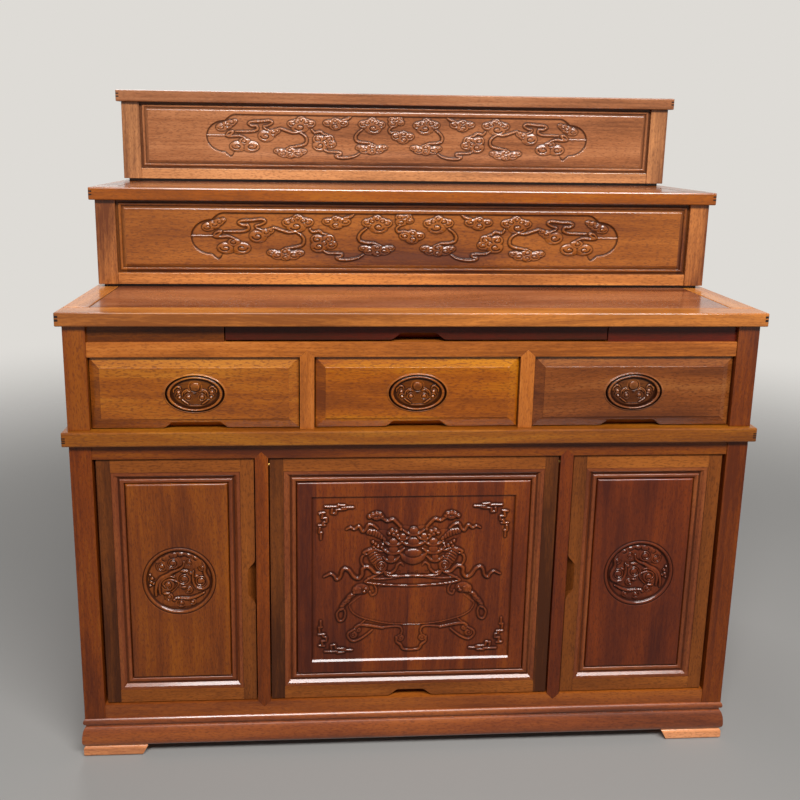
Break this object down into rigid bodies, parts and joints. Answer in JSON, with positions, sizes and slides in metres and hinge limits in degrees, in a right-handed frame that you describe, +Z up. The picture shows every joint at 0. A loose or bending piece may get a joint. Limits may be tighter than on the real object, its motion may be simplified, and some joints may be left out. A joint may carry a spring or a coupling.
{
  "type": "altar cabinet",
  "caption": "Wooden altar cabinet: table top with raised shelf steps at the back, drawers, a pull-out board, side doors and a flap door.",
  "frame": {"origin": "middle of the footprint at the floor, below the feet", "axes": "+Z up, the doors face -Y, +X to the right seen from the front"},
  "size_m": [1.27, 0.68, 1.28],
  "materials": {
    "frame_wood": "satin lacquer",
    "side_wood": "satin lacquer",
    "top_wood": "semi-gloss lacquer",
    "front_wood": "satin lacquer",
    "door_wood": "satin lacquer",
    "panel_wood": "satin lacquer, carved",
    "inner_wood": "thin matt lacquer",
    "dark_strip": "dark stain",
    "brass_pin": "turned, dull"
  },
  "bodies": {
    "cabinet": {"feet": "frame_wood", "base_front": "frame_wood", "base_sides": "frame_wood", "base_rear": "frame_wood", "bottom_board": "inner_wood", "post_left": "frame_wood", "post_right": "frame_wood", "posts_rear": "frame_wood", "rail_bottom": "frame_wood", "rail_top": "frame_wood", "divider_left": "frame_wood", "divider_right": "frame_wood", "side_left": "side_wood", "side_right": "side_wood", "rear_panel": "inner_wood", "partitions": "inner_wood", "door_stops": "frame_wood", "hinge_pins": "brass_pin", "waist_front": "frame_wood", "waist_ends": "frame_wood", "waist_rear": "frame_wood", "waist_panel": "inner_wood", "case_posts": "frame_wood", "drawer_rail": "frame_wood", "drawer_divider_left": "frame_wood", "drawer_divider_right": "frame_wood", "filler_left": "frame_wood", "filler_right": "frame_wood", "case_sides": "side_wood", "case_rear": "inner_wood", "drawer_guides": "inner_wood", "table_front": "frame_wood", "table_rear": "frame_wood", "table_ends": "frame_wood", "table_panel": "top_wood", "lower_step_pads": "dark_strip", "lower_step_frame": "frame_wood", "lower_step_front": "frame_wood", "lower_step_panels": "side_wood", "lower_shelf_frame": "frame_wood", "lower_shelf_panel": "top_wood", "upper_step_pads": "dark_strip", "upper_step_frame": "frame_wood", "upper_step_front": "frame_wood", "upper_step_panels": "side_wood", "upper_shelf_frame": "frame_wood", "upper_shelf_panel": "top_wood"},
    "drawer_left": {"drawer_front_left": "front_wood", "drawer_box_left": "inner_wood"},
    "drawer_middle": {"drawer_front_middle": "front_wood", "drawer_box_middle": "inner_wood"},
    "drawer_right": {"drawer_front_right": "front_wood", "drawer_box_right": "inner_wood"},
    "pull_out": {"pull_out_board": "front_wood"},
    "door_left": {"door_frame_left": "door_wood", "door_panel_left": "panel_wood"},
    "door_middle": {"door_frame_middle": "door_wood", "door_panel_middle": "panel_wood"},
    "door_right": {"door_frame_right": "door_wood", "door_panel_right": "panel_wood"}
  },
  "joints": [
    {"name": "drawer_left_slide", "type": "slide", "parent": "cabinet", "child": "drawer_left", "axis": [0, -1, 0], "range_m": [0, 0.34]},
    {"name": "drawer_middle_slide", "type": "slide", "parent": "cabinet", "child": "drawer_middle", "axis": [0, -1, 0], "range_m": [0, 0.34]},
    {"name": "drawer_right_slide", "type": "slide", "parent": "cabinet", "child": "drawer_right", "axis": [0, -1, 0], "range_m": [0, 0.34]},
    {"name": "pull_out_slide", "type": "slide", "parent": "cabinet", "child": "pull_out", "axis": [0, -1, 0], "range_m": [0, 0.3]},
    {"name": "door_left_hinge", "type": "hinge", "parent": "cabinet", "child": "door_left", "pos_m": [-0.567, -0.3165, 0.356], "axis": [0, 0, -1], "range_deg": [0, 100]},
    {"name": "door_right_hinge", "type": "hinge", "parent": "cabinet", "child": "door_right", "pos_m": [0.567, -0.3165, 0.356], "axis": [0, 0, 1], "range_deg": [0, 100]},
    {"name": "door_middle_hinge", "type": "hinge", "parent": "cabinet", "child": "door_middle", "pos_m": [0, -0.3165, 0.5885], "axis": [-1, 0, 0], "range_deg": [0, 90]}
  ]
}
